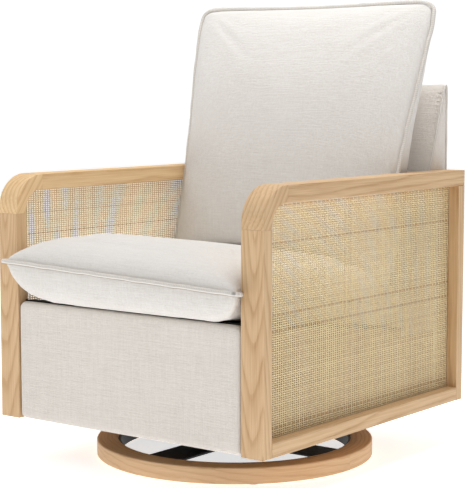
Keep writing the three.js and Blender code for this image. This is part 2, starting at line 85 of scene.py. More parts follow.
# %% Camera
camera = bpy.data.objects.new("camera", bpy.data.cameras.new("camera"))
azimuth = math.radians(37.404)
elevation = math.radians(5.696)
away = Vector((math.sin(azimuth) * math.cos(elevation),
               -math.cos(azimuth) * math.cos(elevation),
               math.sin(elevation)))
camera.location = (2.1191, -2.7756, 0.8225)
camera.rotation_euler = (-away).to_track_quat("-Z", "Y").to_euler()
camera.data.lens = 115.27
camera.data.sensor_width = 36
scene.collection.objects.link(camera)
scene.camera = camera
scene.view_settings.view_transform = "Standard"
print("camera:", round(camera.location.length, 3), "m from the origin")


# %% [markdown]
# ## Surfaces from numbers
# New pieces are grids of points worked out as whole arrays. A grid may close on itself in either
# direction, as a tube or a ring does, and its quads are only index sums, so one function serves
# every piece. Merging doubled points closes seams and poles before the faces are turned outward.

# %% Grids and meshes
def grid_quads(rows, columns, rows_close=False, columns_close=False):
    """Point numbers of each quad of a grid: here, next column, next row and column, next row."""
    row, column = np.meshgrid(np.arange(rows if rows_close else rows - 1),
                              np.arange(columns if columns_close else columns - 1),
                              indexing="ij")
    below, beside = (row + 1) % rows, (column + 1) % columns
    return np.stack([row * columns + column, row * columns + beside,
                     below * columns + beside, below * columns + column], -1).reshape(-1, 4)


def make_piece(name, points, faces, values=None):
    """A smooth mesh object at the origin. values are named numbers, one for each point."""
    mesh = bpy.data.meshes.new(name)
    mesh.from_pydata(np.asarray(points).reshape(-1, 3), [], faces)
    for label, numbers in (values or {}).items():
        mesh.attributes.new(label, "FLOAT", "POINT").data.foreach_set("value", numbers.ravel())
    shell = bmesh.new()
    shell.from_mesh(mesh)
    bmesh.ops.remove_doubles(shell, verts=shell.verts, dist=same_place)
    bmesh.ops.recalc_face_normals(shell, faces=shell.faces)
    shell.to_mesh(mesh)
    shell.free()
    mesh.shade_smooth()
    piece = bpy.data.objects.new(name, mesh)
    scene.collection.objects.link(piece)
    return piece


def points_of(piece):
    """The places of a piece's points, as an array of rows of x, y and z."""
    places = np.empty(len(piece.data.vertices) * 3, np.float32)
    piece.data.vertices.foreach_get("co", places)
    return places.reshape(-1, 3).astype(float)


def move_points(piece, places):
    """Puts a piece's points in new places."""
    piece.data.vertices.foreach_set("co", places.astype(np.float32).ravel())
    piece.data.update()


print("a tube of 4 rows and 6 columns has", len(grid_quads(4, 6, columns_close=True)), "quads")


# %% Profiles carried along paths
def along_loop(loop, out, up, profile):
    """Each point of the profile, so far out and so far up, set off from each point of the loop."""
    return (loop[:, None] + profile[None, :, :1] * out[:, None]
            + profile[None, :, 1:] * up[:, None])


def even_loop(corners, step, passes):
    """Points at even steps round a closed path, then averaged with their neighbours, which
    rounds its corners."""
    closed = np.vstack([corners, corners[:1]])
    reach = np.concatenate([[0], np.cumsum(np.linalg.norm(np.diff(closed, axis=0), axis=1))])
    stops = np.linspace(0, reach[-1], int(reach[-1] / step), endpoint=False)
    loop = np.stack([np.interp(stops, reach, closed[:, k]) for k in range(3)], -1)
    for _ in range(passes):
        loop = (np.roll(loop, 1, 0) + 2 * loop + np.roll(loop, -1, 0)) / 4
    return loop


def loop_frame(loop, face):
    """The directions out of a loop and up from its face: out is square to the path and the face."""
    run = np.roll(loop, -1, 0) - np.roll(loop, 1, 0)
    run /= np.linalg.norm(run, axis=1)[:, None]
    out = np.cross(run, face)
    out /= np.linalg.norm(out, axis=1)[:, None]
    outward = np.sign(((loop - loop.mean(0)) * out).sum())
    return out * outward, np.cross(out * outward, run) * np.sign(np.cross(out, run)[0] @ face)


# %% [markdown]
# ## Sums with shader nodes
# A material's pattern is arithmetic, and it reads best as arithmetic. One small class holds a
# node's output. Adding or multiplying it adds a Math node, and its node method adds any other
# kind. Colours are mixed with a Mix node, because a Math node would turn them grey.

# %% The wire class
class Wire:
    """An output of a node tree. Sums with wires and numbers add Math nodes to the tree."""

    def __init__(self, tree, output=None):
        self.tree = tree
        self.output = output

    def node(self, kind, settings=None, sockets=None, output=0):
        """Adds a node of this kind, sets it up, then fills or links its sockets."""
        made = self.tree.nodes.new("ShaderNode" + kind)
        for name, value in (settings or {}).items():
            if name == "stops":
                set_stops(made.color_ramp, value)
            else:
                setattr(made, name, value)
        for name, value in (sockets or {}).items():
            if isinstance(value, Wire):
                self.tree.links.new(value.output, made.inputs[name])
            else:
                made.inputs[name].default_value = value
        return Wire(self.tree, made.outputs[output])

    def math(self, operation, *values):
        return self.node("Math", {"operation": operation}, dict(enumerate(values)))

    def fraction(self):
        return self.math("FRACT", self)

    def __add__(self, other):
        return self.math("ADD", self, other)

    def __radd__(self, other):
        return self.math("ADD", other, self)

    def __sub__(self, other):
        return self.math("SUBTRACT", self, other)

    def __rsub__(self, other):
        return self.math("SUBTRACT", other, self)

    def __mul__(self, other):
        return self.math("MULTIPLY", self, other)

    def __rmul__(self, other):
        return self.math("MULTIPLY", other, self)

    def __truediv__(self, other):
        return self.math("DIVIDE", self, other)

    def __rtruediv__(self, other):
        return self.math("DIVIDE", other, self)

    def __pow__(self, other):
        return self.math("POWER", self, other)

    def __rpow__(self, other):
        return self.math("POWER", other, self)


def set_stops(ramp, stops):
    """Gives a colour ramp these (place, grey) stops."""
    while len(ramp.elements) < len(stops):
        ramp.elements.new(1)
    for element, (place, grey) in zip(ramp.elements, stops):
        element.position = place
        element.color = (grey, grey, grey, 1)


# %% Colours, noise and a finished surface
def colour(red, green, blue):
    """A colour given as it looks on a screen, 0 to 255, turned to the light that it reflects."""
    return tuple(((level / 255 + 0.055) / 1.055) ** 2.4 for level in (red, green, blue)) + (1,)


def mix(amount, first, second):
    """The first colour where amount is 0, and the second where it is 1. A Mix node has sockets
    for every type of data, and these are the numbers of those for colours."""
    return amount.node("Mix", {"data_type": "RGBA"}, {0: amount, 6: first, 7: second}, 2)


def new_material(name):
    """An empty material, and the wire that its nodes start from."""
    material = bpy.data.materials.new(name)
    material.use_nodes = True
    material.node_tree.nodes.clear()
    return material, Wire(material.node_tree)


def place_on(start, stretch=(1, 1, 1)):
    """The place on the piece in metres, stretched along each axis."""
    place = start.node("TexCoord", output="Object")
    return start.node("Mapping", {"vector_type": "POINT"},
                      {"Vector": place, "Scale": stretch}, "Vector")


def noise(start, vector, scale=1.0, detail=2.0):
    """Cloudy noise, mostly from 0.3 to 0.7."""
    return start.node("TexNoise", {}, {"Vector": vector, "Scale": scale, "Detail": detail})


def step(start, value, low, high):
    """0 below low, 1 above high, and even between them."""
    return start.node("MapRange", {"clamp": True},
                      {"Value": value, "From Min": low, "From Max": high})


def paint(start, base, roughness, height=None, depth=0.001, **constants):
    """Ends a material: one Principled shader with its base colour, roughness and bump."""
    sockets = {"Base Color": base, "Roughness": roughness}
    sockets.update({name.replace("_", " "): value for name, value in constants.items()})
    if height is not None:
        sockets["Normal"] = start.node("Bump", {}, {"Height": height, "Distance": depth})
    shader = start.node("BsdfPrincipled", {}, sockets)
    end = start.tree.nodes.new("ShaderNodeOutputMaterial")
    start.tree.links.new(shader.output, end.inputs["Surface"])


# %% Floor, backdrop and lights
def build_studio():
    """A white world that lights less than it shows, and a pale floor."""
    world = bpy.data.worlds.new("studio")
    world.use_nodes = True
    world.node_tree.nodes.clear()
    sky = Wire(world.node_tree)
    seen = sky.node("LightPath", output="Is Camera Ray")
    light = sky.node("Background", {}, {"Color": (1, 1, 1, 1), "Strength": seen * 0.72 + 0.34})
    end = world.node_tree.nodes.new("ShaderNodeOutputWorld")
    world.node_tree.links.new(light.output, end.inputs["Surface"])
    scene.world = world
    corners = 30 * np.array([[-1, -1, 0], [1, -1, 0], [1, 1, 0], [-1, 1, 0]])
    floor = make_piece("floor", corners, [[0, 1, 2, 3]])
    white, start = new_material("floor_paint")
    cloud = noise(start, place_on(start), 3.0)
    paint(start, mix(cloud, colour(250, 250, 249), colour(253, 253, 253)), 0.9,
          Emission_Color=(1, 1, 1, 1), Emission_Strength=0.68)
    floor.data.materials.append(white)


def soft_box(name, place, aim, size, power):
    """A square area light at place, turned to aim."""
    lamp = bpy.data.lights.new(name, "AREA")
    lamp.size = size
    lamp.energy = power
    box = bpy.data.objects.new(name, lamp)
    box.location = place
    box.rotation_euler = (Vector(aim) - Vector(place)).to_track_quat("-Z", "Y").to_euler()
    scene.collection.objects.link(box)


build_studio()
soft_box("key_light", (-1.5, -2.2, 2.6), (0, 0, 0.5), 1.8, 21)
soft_box("top_light", (0.35, 0.25, 3.1), (0, 0.1, 0.6), 1.3, 55)
print("studio: floor, world and two soft boxes")


# %% [markdown]
# ## Ash
# Ash shows its growth rings as plain lines on a quarter-sawn face and as nested arches on a face
# that cuts the rings at a low angle. Both come from one rule: a board is a block cut out of a
# tree. The distance of each point from the tree's heart line gives its ring. The heart line
# leans a little along the board, which is what draws the arches. Fine noise stretched along the
# grain gives the fibres and the open pores.

# %% Wood
# The grey of a growth ring from its inner to its outer side: last year's dark late wood, then pale
# early wood that slowly darkens again.
ring_stops = [(0, 0.75), (0.1, 1), (0.32, 0.35), (0.75, 0), (1, 0.3)]


def grain_noise(start, place, along, across, detail, shift=0.0):
    """Noise over a board's length, side and depth, with so many waves to the metre along the
    grain and across it. shift moves it along the grain, so that two boards differ."""
    length, side, depth = place
    waves = start.node("CombineXYZ", {}, {0: length * along + shift, 1: side * across,
                                          2: depth * across})
    return noise(start, waves, 1.0, detail)


def dot(start, place, direction):
    """How far along a direction each point lies."""
    return start.node("VectorMath", {"operation": "DOT_PRODUCT"}, {0: place, 1: direction},
                      "Value")


def wood(name, along, heart, lean, ring_gap, pale, dark, seed=0.0):
    """Wood whose grain runs along one direction. heart is a point on the tree's heart line, lean
    is how fast the line drifts, and seed makes one board differ from the next."""
    material, start = new_material(name)
    along = Vector(along).normalized()
    side = Vector((1, 0, 0)) if abs(along.x) < 0.5 else Vector((0, 1, 0))
    deep = along.cross(side)
    place = place_on(start)
    length = dot(start, place, along)
    across = dot(start, place, side) - Vector(heart).dot(side)
    depth = dot(start, place, deep) - Vector(heart).dot(deep)
    board = (length, across, depth)
    wander = grain_noise(start, board, 2.5, 14, 3.0, seed) - 0.5
    lean_depth = depth + length * lean
    radius = (across ** 2 + lean_depth ** 2) ** 0.5 + wander * 0.022
    ring = (radius / ring_gap).fraction()
    line = start.node("ValToRGB", {"stops": ring_stops}, {0: ring})
    fibres = grain_noise(start, board, 9, 420, 2.0, seed)
    pore = step(start, grain_noise(start, board, 38, 1300, 1.0), 0.6, 0.7) * line
    patch = grain_noise(start, (length, across + seed / 22, depth), 3, 22, 2.0)
    amount = line * 0.5 + (fibres - 0.5) * 1.1 + pore * 0.35 + (patch - 0.5) * 0.7
    tone = mix(step(start, amount, -0.15, 0.85), colour(*pale), colour(*dark))
    paint(start, tone, 0.46 + fibres * 0.2, amount * -1, 0.0004)
    return material


sharp_angle, smooth_angle = math.radians(35), math.radians(32)


def bevel_along_sides(shell, joined):
    """Weights for the bevel: 1 on the long edges of a member, 0 where it meets its neighbours."""
    layer = shell.edges.layers.float.new("bevel_weight_edge")
    places = np.array([point.co for point in shell.verts])
    ends = {"-": places.min(0), "+": places.max(0)}
    planes = [("xyz".index(name[1]), ends[name[0]]["xyz".index(name[1])]) for name in joined]
    for edge in shell.edges:
        flat = [all(abs(point.co[axis] - level) < same_plane for point in edge.verts)
                for axis, level in planes]
        outer = any(all(abs(point.co.x - ends[end][0]) < same_plane for point in edge.verts)
                    for end in "-+")
        sharp = len(edge.link_faces) == 2 and edge.calc_face_angle(0) > sharp_angle
        edge[layer] = 1.0 if sharp and outer and not any(flat) else 0.0


def merged_copy(node, name, joined=None):
    """A new piece with a node's shape, its doubled points merged and its flat faces joined."""
    mesh = frame["nodes"][node].data.copy()
    shell = bmesh.new()
    shell.from_mesh(mesh)
    bmesh.ops.remove_doubles(shell, verts=shell.verts, dist=same_place)
    bmesh.ops.dissolve_limit(shell, angle_limit=math.radians(0.5), verts=shell.verts,
                             edges=shell.edges)
    if joined is not None:
        bevel_along_sides(shell, joined)
    shell.to_mesh(mesh)
    shell.free()
    if "custom_normal" in mesh.attributes:
        mesh.attributes.remove(mesh.attributes["custom_normal"])
    piece = bpy.data.objects.new(name, mesh)
    scene.collection.objects.link(piece)
    return piece


def bevel_edges(piece, width, segments, limit="ANGLE"):
    """A bevel on the edges that turn by more than the sharp angle, or that carry a weight."""
    bevel = piece.modifiers.new("rounding", "BEVEL")
    bevel.width = width
    bevel.segments = segments
    bevel.limit_method = limit
    bevel.angle_limit = sharp_angle
    return bevel


def ease(node, material, width, joined=None):
    """A merged copy of a rigid piece with its edges eased, which stands for the node."""
    piece = merged_copy(node, node + "_eased", joined)
    piece.data.shade_smooth()
    piece.data.set_sharp_from_angle(angle=smooth_angle)
    piece.data.materials.clear()
    piece.data.materials.append(material)
    bevel = bevel_edges(piece, width, 3, "ANGLE" if joined is None else "WEIGHT")
    bevel.harden_normals = True
    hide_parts(node)
    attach(piece, body_of[node])
    return piece


# %% The arms
# A board: the gap between its rings, its pale tone and its dark tone.
ash_board = 8.5 * MM, (220, 187, 146), (184, 142, 96)
# Painted light: the left arm's corner block and top rail take this paler ash, standing in for the
# brighter light that falls on the far arm.
painted_light_board = 8.5 * MM, (240, 207, 160), (208, 164, 114)
painted_light_members = [("left", "corner_block"), ("left", "top_rail")]
# Each member: the way its grain runs, the lean of its heart line, how far the heart lies from its
# middle, and the ends that meet a neighbour.
arm_members = {
    "front_post": ((0, 0, 1), 0.11, (0.006, 0.055, 0), ["+z"]),
    "corner_block": ((0, 0.6, 0.8), 0.02, (0.14, 0.16, 0.02), ["-z", "+y"]),
    "top_rail": ((0, 1, 0), 0.02, (0.12, 0, 0.05), ["-y"]),
    "rear_post": ((0, 0, 1), 0.02, (0.03, 0.11, 0), ["-z", "+z"]),
    "bottom_rail": ((0, 1, 0), 0.03, (-0.09, 0, 0.07), ["-y", "+y"]),
}
board_step = 3.7    # how far the noise of one board is from the next
for side, sign in sides.items():
    for number, (member, facts) in enumerate(arm_members.items()):
        grain, lean, heart, joined = facts
        node = f"{side}_arm_{member}"
        low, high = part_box(node)
        middle = (low + high) / 2 + Vector((heart[0] * sign, heart[1], heart[2]))
        tones = painted_light_board if (side, member) in painted_light_members else ash_board
        ash = wood(f"ash_{side}_{member}", grain, middle, lean, *tones, number * board_step + sign)
        ease(node, ash, 1.8 * MM, joined)
print("arms:", 2 * len(arm_members), "eased members")


# %% [markdown]
# ## Woven cane
# The side panels are split cane in a plain weave: each strand passes over one crossing strand
# and under the next. A picture of a weave would have no holes, and light has to come through.
# So every strand is a real ribbon whose height follows a cosine, and whose neighbours follow the
# opposite one. All strands of one direction are one array of points.

# %% Strands
strand_thickness = 1.1 * MM
row_pitch, row_width = 4.6 * MM, 2.8 * MM
column_pitch, column_width = 7.4 * MM, 4.0 * MM
panel_corner_radius, strand_end_gap = 52 * MM, 1 * MM
dark_share, dark_tone = 0.06, 1.4


def strands(lines, starts, ends, crossing, pitch, width, first, generator):
    """Ribbons with a four-sided section, each along its own line from its start to its end.
    Their lift is half the thickness of a strand times a cosine of the distance, measured in
    crossings, and its sign changes from one strand to the next."""
    stations = 2 * int(round((ends - starts).max() / pitch)) + 1
    way = np.linspace(0, 1, stations)
    run = starts[:, None] + (ends - starts)[:, None] * way
    parity = (-1.0) ** (np.arange(len(lines)) + first)
    wave = np.cos(np.pi * (run - crossing) / pitch) * parity[:, None]
    lift = 0.52 * strand_thickness * wave
    wide = width * generator.uniform(0.82, 1.08, len(lines))
    section = np.array([[-0.5, 0], [0, 0.5], [0.5, 0], [0, -0.5]])
    across = lines[:, None, None] + wide[:, None, None] * section[:, 0]
    height = lift[..., None] + strand_thickness * section[:, 1]
    across, height = np.broadcast_arrays(across, height)
    return np.stack([height, np.broadcast_to(run[..., None], height.shape), across], -1)


def strand_faces(count, stations):
    """Side quads of every ribbon, and the quad that closes each of its two ends."""
    one = grid_quads(stations, 4, columns_close=True)
    caps = np.array([[0, 1, 2, 3], [3, 2, 1, 0]])
    caps[1] += 4 * (stations - 1)
    return (np.vstack([one, caps])[None] + (np.arange(count) * 4 * stations)[:, None, None]
            ).reshape(-1, 4)


def strand_material():
    """Split cane: each strand has its own tone, with streaks along it and darker pieces."""
    material, start = new_material("split_cane")
    tone = start.node("Attribute", {"attribute_name": "tone"}, output="Fac")
    streaks = noise(start, place_on(start, (500, 120, 120)), 1.0, 3.0)
    patches = noise(start, place_on(start, (3, 5, 5)), 1.0, 2.0)
    amount = tone * 0.6 + (streaks - 0.5) * 0.7 + (patches - 0.5) * 0.4
    base = mix(step(start, amount, 0.0, 1.0), colour(253, 234, 190), colour(202, 163, 112))
    paint(start, base, 0.42 + streaks * 0.25, streaks, 0.0003)
    return material


split_cane = strand_material()


# %% Weave the two panels
def weave_panel(side, seed):
    """Rows along the arm and columns up it, cut to the rounded corner that the groove hides."""
    generator = np.random.default_rng(seed)
    node = f"{side}_cane_panel"
    low, high = (np.array(corner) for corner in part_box(node))
    radius = panel_corner_radius
    centre = np.array([low[1] + radius, high[2] - radius])
    rows = np.arange(low[2] + row_pitch, high[2] - row_width, row_pitch)
    columns = np.arange(low[1] + column_pitch, high[1] - column_width, column_pitch)
    over = np.clip(rows - centre[1], 0, radius)
    ahead = np.clip(centre[0] - columns, 0, radius)
    row_starts = centre[0] - np.sqrt(radius ** 2 - over ** 2)
    column_ends = centre[1] + np.sqrt(radius ** 2 - ahead ** 2)
    row_ends = np.full(len(rows), high[1] - strand_end_gap)
    column_starts = np.full(len(columns), low[2] + strand_end_gap)
    sets = {
        "rows": strands(rows, row_starts, row_ends, columns[0], column_pitch, row_width, 0,
                        generator),
        "columns": strands(columns, column_starts, column_ends, rows[0], row_pitch,
                           column_width, 1, generator)[..., [0, 2, 1]],
    }
    plane = (low[0] + high[0]) / 2
    for label, grid in sets.items():
        tone = 0.7 * generator.beta(1.6, 3.2, grid.shape[0])
        if label == "rows":
            tone[generator.random(len(tone)) < dark_share] = dark_tone
        tones = np.broadcast_to(tone[:, None, None], grid.shape[:3])
        grid = grid + np.array([plane, 0, 0])
        piece = make_piece(f"{side}_cane_{label}", grid,
                           strand_faces(grid.shape[0], grid.shape[1]), {"tone": tones})
        piece.data.materials.append(split_cane)
        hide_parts(node)
        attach(piece, body_of[node])
        print(piece.name, len(piece.data.polygons), "faces")


for side, seed in zip(sides, (11, 12)):
    weave_panel(side, seed)


# %% [markdown]
# ## Linen
# The covers are an off-white linen weave, slightly warm, with thicker threads here and there.
# A thread is noise stretched along one axis. Threads along all three axes are added together, so
# a face shows the two that lie in it and only a fine speckle from the third, whichever way it
# faces. That needs no unwrapping, which the filled cushions wouldn't survive.

# %% Cloth materials
def linen(name, base=(243, 240, 236), shade=(222, 216, 209)):
    """Plain-woven linen with slubs, soft patches and a dry sheen."""
    material, start = new_material(name)
    threads = [noise(start, place_on(start, stretch), 1.0, 1.0)
               for stretch in ((70, 950, 950), (950, 70, 950), (950, 950, 70))]
    slubs = [noise(start, place_on(start, stretch), 1.0, 2.0)
             for stretch in ((16, 330, 330), (330, 330, 16))]
    patches = noise(start, place_on(start, (5, 5, 5)), 1.0, 3.0)
    yarn = threads[0] + threads[1] + threads[2] - 1.5
    thick = slubs[0] + slubs[1] - 1.0
    tone = yarn * 0.5 + thick * 0.6 + (patches - 0.5) * 0.3 + 0.4
    paint(start, mix(step(start, tone, 0.0, 1.0), colour(*base), colour(*shade)), 0.93,
          yarn + thick, 0.0009, Sheen_Weight=0.25, Sheen_Roughness=0.5)
    return material


def welt_linen(name, depth):
    """The same cloth for seams: a row of stitches runs along the middle of the strip, and painted
    shade darkens the underside of the strip where it meets the cushion, as strongly as depth says."""
    material, start = new_material(name)
    length = start.node("Attribute", {"attribute_name": "length"}, output="Fac")
    turn = start.node("Attribute", {"attribute_name": "turn"}, output="Fac")
    yarn = noise(start, place_on(start, (900, 900, 900)), 1.0, 1.0)
    dash = (length / 0.0042).fraction()
    stitch = step(start, dash, 0.3, 0.4) * (1 - step(start, turn, 0.02, 0.05))
    # Painted shade: the lower side of the strip's section is mixed toward a dark brown.
    painted_crease_shade = step(start, turn, 0.5, 0.75)
    base = mix(yarn, colour(246, 243, 238), colour(226, 220, 212))
    shaded = mix(painted_crease_shade * depth, base, colour(120, 104, 90))
    paint(start, mix(stitch * 0.25, shaded, colour(178, 166, 150)), 0.93,
          yarn - stitch * 1.5, 0.0008, Sheen_Weight=0.25, Sheen_Roughness=0.5)
    return material


cover_linen = linen("linen_cover")
# Painted shade: the upholstered frame takes the cover linen a little darker and warmer, for faces
# that get less light than the cushion tops.
shaded_frame_linen = linen("linen_frame", (239, 233, 226), (216, 208, 199))
# The second number says how dark the painted shade under each welt is.
welt_cloth = welt_linen("linen_welt", 0.9)
seam_cloth = welt_linen("linen_seam", 0.3)


# %% [markdown]
# ## Filling a cushion
# A real cushion starts flat, and its filling pushes the cloth out until it is tight. Blender's
# cloth does the same with pressure. The shell is rebuilt in even squares, its seam is held, and
# twenty steps of the simulation swell it. No point may move further than a cap, so the cushion
# keeps its size. The result is written into the mesh and one subdivision smooths it.

# %% The cloth simulation
cloth_square, cushion_pressure = 6 * MM, 4.0
seam_band = 4.5 * MM     # points this near to the seam are held still
firmness = 1 * MM        # how far a point may sink
steps_of_filling = 20


def normals_of(piece):
    """The direction that each point of a piece faces."""
    facing = np.empty(len(piece.data.vertices) * 3, np.float32)
    piece.data.vertex_normals.foreach_get("vector", facing)
    return facing.reshape(-1, 3).astype(float)


def fill_cloth(piece, voxel, pressure, cap, held):
    """Swells a closed shell under pressure. held says which places the seam keeps still. No point
    moves further than cap, and it hardly sinks, because the filling is firm."""
    remesh = piece.modifiers.new("even_squares", "REMESH")
    remesh.mode = "VOXEL"
    remesh.voxel_size = voxel
    apply_modifiers(piece)
    start, facing = points_of(piece), normals_of(piece)
    pins = piece.vertex_groups.new(name="sewn")
    pins.add([int(k) for k in np.flatnonzero(held(start))], 1.0, "REPLACE")
    cloth = piece.modifiers.new("cloth", "CLOTH")
    cloth.settings.quality = 5
    cloth.settings.mass = 0.3
    cloth.settings.use_pressure = True
    cloth.settings.uniform_pressure_force = pressure
    cloth.settings.effector_weights.gravity = 0
    cloth.settings.vertex_group_mass = "sewn"
    cloth.collision_settings.use_collision = False
    for moment in range(1, steps_of_filling + 1):
        scene.frame_set(moment)
    swollen = bpy.data.meshes.new_from_object(
        piece.evaluated_get(bpy.context.evaluated_depsgraph_get()))
    places = np.empty(len(swollen.vertices) * 3, np.float32)
    swollen.vertices.foreach_get("co", places)
    move = places.reshape(-1, 3) - start
    sunk = np.minimum((move * facing).sum(1) + firmness, 0)
    move -= sunk[:, None] * facing
    reach = np.linalg.norm(move, axis=1)[:, None]
    move *= np.minimum(1, cap / np.maximum(reach, 1e-9))
    piece.modifiers.clear()
    scene.frame_set(1)
    bpy.data.meshes.remove(swollen)
    move_points(piece, start + move)
    relax(piece, 3)
    print(piece.name, "filled:", len(start), "points, moved up to",
          round(float(np.linalg.norm(move, axis=1).max()) * 1000, 1), "mm")


def relax(piece, rounds):
    """Moves each point halfway to the mean of its neighbours, which calms fine creases."""
    shell = bmesh.new()
    shell.from_mesh(piece.data)
    for _ in range(rounds):
        bmesh.ops.smooth_vert(shell, verts=shell.verts, factor=0.5, use_axis_x=True,
                              use_axis_y=True, use_axis_z=True)
    shell.to_mesh(piece.data)
    shell.free()


def apply_modifiers(piece):
    """Writes what the modifiers make into the mesh."""
    bpy.context.view_layer.update()
    made = bpy.data.meshes.new_from_object(
        piece.evaluated_get(bpy.context.evaluated_depsgraph_get()))
    piece.modifiers.clear()
    piece.data = made
    made.shade_smooth()


def subdivide(piece):
    """One round of smooth subdivision, the same on screen and in the render."""
    modifier = piece.modifiers.new("smooth", "SUBSURF")
    modifier.levels = 1
    modifier.render_levels = 1


def dress(piece, material, slot, body, fill, *nodes):
    """Cloth, material slot, body and replaced nodes of a padded piece. The material slot is not
    used.
    """
    piece.data.materials.clear()
    piece.data.materials.append(material)
    piece.data.shade_smooth()
    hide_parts(*nodes)
    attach(piece, body)


welt_sides, welt_step = 12, 3.5 * MM


def sew_welt(name, corners, face, wide, tall, cloth, passes, ripple, nudge=0.0):
    """A strip sewn into a seam: a flattened round section carried along the seam. It ripples up
    and down by a sum of two sine waves."""
    loop = even_loop(corners, welt_step, passes)
    out, up = loop_frame(loop, np.asarray(face, float))
    steps = np.linalg.norm(np.roll(loop, -1, 0) - loop, axis=1)
    length = np.concatenate([[0], np.cumsum(steps)[:-1]])
    wave = ripple * (np.sin(length * 71) + 0.7 * np.sin(length * 123 + 1.3))
    loop = loop + up * wave[:, None] + out * nudge
    angle = np.linspace(0, 2 * np.pi, welt_sides, endpoint=False)
    profile = np.stack([wide / 2 * np.sign(np.cos(angle)) * np.abs(np.cos(angle)) ** 0.8,
                        tall / 2 * np.sign(np.sin(angle)) * np.abs(np.sin(angle)) ** 0.7], -1)
    grid = along_loop(loop, out, up, profile)
    values = {"length": np.broadcast_to(length[:, None], grid.shape[:2]),
              "turn": np.broadcast_to(-np.sin(angle)[None], grid.shape[:2])}
    welt = make_piece(name, grid, grid_quads(*grid.shape[:2], True, True), values)
    welt.data.materials.append(cloth)
    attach(welt, "seat_carriage")
    return welt


# %% [markdown]
# ## The seat cushion
# Two panels of cloth are sewn together at a knife edge that runs round the cushion. The seam lies
# in a plane that falls toward the back. The upper panel is well crowned and the lower one rests
# flat on the deck, so their heights follow different powers of the distance from the middle. In
# front of the arms the corners spread into short ears.

# %% Shape of the seat cushion
seat_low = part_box("seat_cushion")[0]
arm_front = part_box("right_arm_front_post")[0].y
arm_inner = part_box("right_arm_front_post")[0].x
seat_slope, seat_roll = 0.134, 0.036
seam_front_y, seam_front_z = -422 * MM, 441 * MM
seat_front, seat_rear = seat_low.y + 8 * MM, 231 * MM
seat_crown, deck_drop = 80 * MM, 68 * MM
panel_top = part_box("front_panel")[1].z
seat_swell = 7 * MM
ear, ear_shift, ear_start, ear_run = 12 * MM, 4 * MM, 2 * MM, 26 * MM
arm_gap = 1 * MM


def seat_plane_z(y):
    """A plane that falls steadily from the front edge, as the deck under it does."""
    return seam_front_z - seat_slope * (y - seam_front_y)


def seat_seam_z(x, y):
    """Height of the seam: the sloping plane, rolled a little lower to the right."""
    return seat_plane_z(y) - seat_roll * x


def rest_level(y):
    """What the cushion lies on: the sloping deck, and the level top of the front panel."""
    return np.minimum(seat_plane_z(y) - deck_drop, panel_top + 1.5 * MM)


def clear_of_arms(y):
    """0 between the arms and 1 in front of them, with a smooth step between."""
    free = np.clip((arm_front - ear_start - y) / ear_run, 0, 1)
    return free * free * (3 - 2 * free)


def seat_half_width(y):
    """Half the width of the seam: a little less than the arms leave, more in front of them."""
    return arm_inner - 3 * arm_gap + ear * clear_of_arms(y)


def seat_shift(y):
    """The front corners sit a little to the right."""
    return ear_shift * clear_of_arms(y)


def pillow_height(u, v, side_power, front_power, rear_power, root=0.5):
    """1 in the middle and 0 at the seam: a root of 1 less a power of the distance, in each
    direction. The front and the rear have their own powers."""
    along = np.where(v < 0, np.abs(v) ** front_power, np.abs(v) ** rear_power)
    return np.clip((1 - np.abs(u) ** side_power) * (1 - along), 0, 1) ** root


panel_points = 91    # along each side of a panel of cloth


def cushion_grid():
    """Two coordinates from -1 to 1 whose steps are short near the seam."""
    steps = np.sin(np.linspace(-np.pi / 2, np.pi / 2, panel_points))
    return np.meshgrid(steps, steps)


def two_panels(name, first, second):
    """One shell from two panels over the same plan, sewn together along their edges."""
    faces = grid_quads(panel_points, panel_points)
    return make_piece(name, np.concatenate([first, second]),
                      np.vstack([faces, faces + panel_points ** 2]))


def seat_cushion_shell():
    """Upper and lower panel as two grids over the same plan. The lower one reaches the deck."""
    u, v = cushion_grid()
    y = (seat_front + seat_rear) / 2 + v * (seat_rear - seat_front) / 2
    x = u * seat_half_width(y) + seat_shift(y)
    seam = seat_seam_z(x, y)
    top = seam + seat_crown * pillow_height(u, v, 5.5, 4.0, 10, root=0.42)
    to_deck = seam - rest_level(y) - 1 * MM
    bottom = seam - to_deck * pillow_height(u, v, np.where(u < 0, 7, 18), 36, 20)
    return two_panels("seat_cushion_cover", np.stack([x, y, top], -1),
                      np.stack([x, y, bottom], -1))


def seat_seam():
    """The corner points of the seam's path, round the cushion."""
    y = np.concatenate([[seat_front], np.linspace(seat_front + 6 * MM, arm_front, 8),
                        [seat_rear]])
    right = np.stack([seat_half_width(y), y], -1)
    plan = np.concatenate([right, right[::-1] * [-1, 1]])
    plan[:, 0] += seat_shift(plan[:, 1])
    return np.column_stack([plan, seat_seam_z(plan[:, 0], plan[:, 1])])


# %% Fill the seat cushion
seat_cushion = seat_cushion_shell()
fill_cloth(seat_cushion, cloth_square, cushion_pressure, seat_swell,
           lambda place: np.abs(place[:, 2] - seat_seam_z(*place.T[:2])) < seam_band)
seat_places = points_of(seat_cushion)
seat_places[:, 2] = np.maximum(seat_places[:, 2], rest_level(seat_places[:, 1]))
between_arms = seat_places[:, 1] > arm_front - 3 * MM
room = np.where(between_arms, arm_inner - arm_gap, 1.0)
seat_places[:, 0] = np.clip(seat_places[:, 0], -room, room)
move_points(seat_cushion, seat_places)
subdivide(seat_cushion)
dress(seat_cushion, cover_linen, "cushion_cover", "seat_carriage", 0.75, "seat_cushion")
sew_welt("seat_cushion_welt", seat_seam(), (seat_roll, seat_slope, 1), 11 * MM, 10 * MM,
         welt_cloth, passes=3, ripple=0.35 * MM, nudge=3.5 * MM)
print("seat cushion:", len(seat_cushion.data.vertices), "points")


plan_cell = 14 * MM


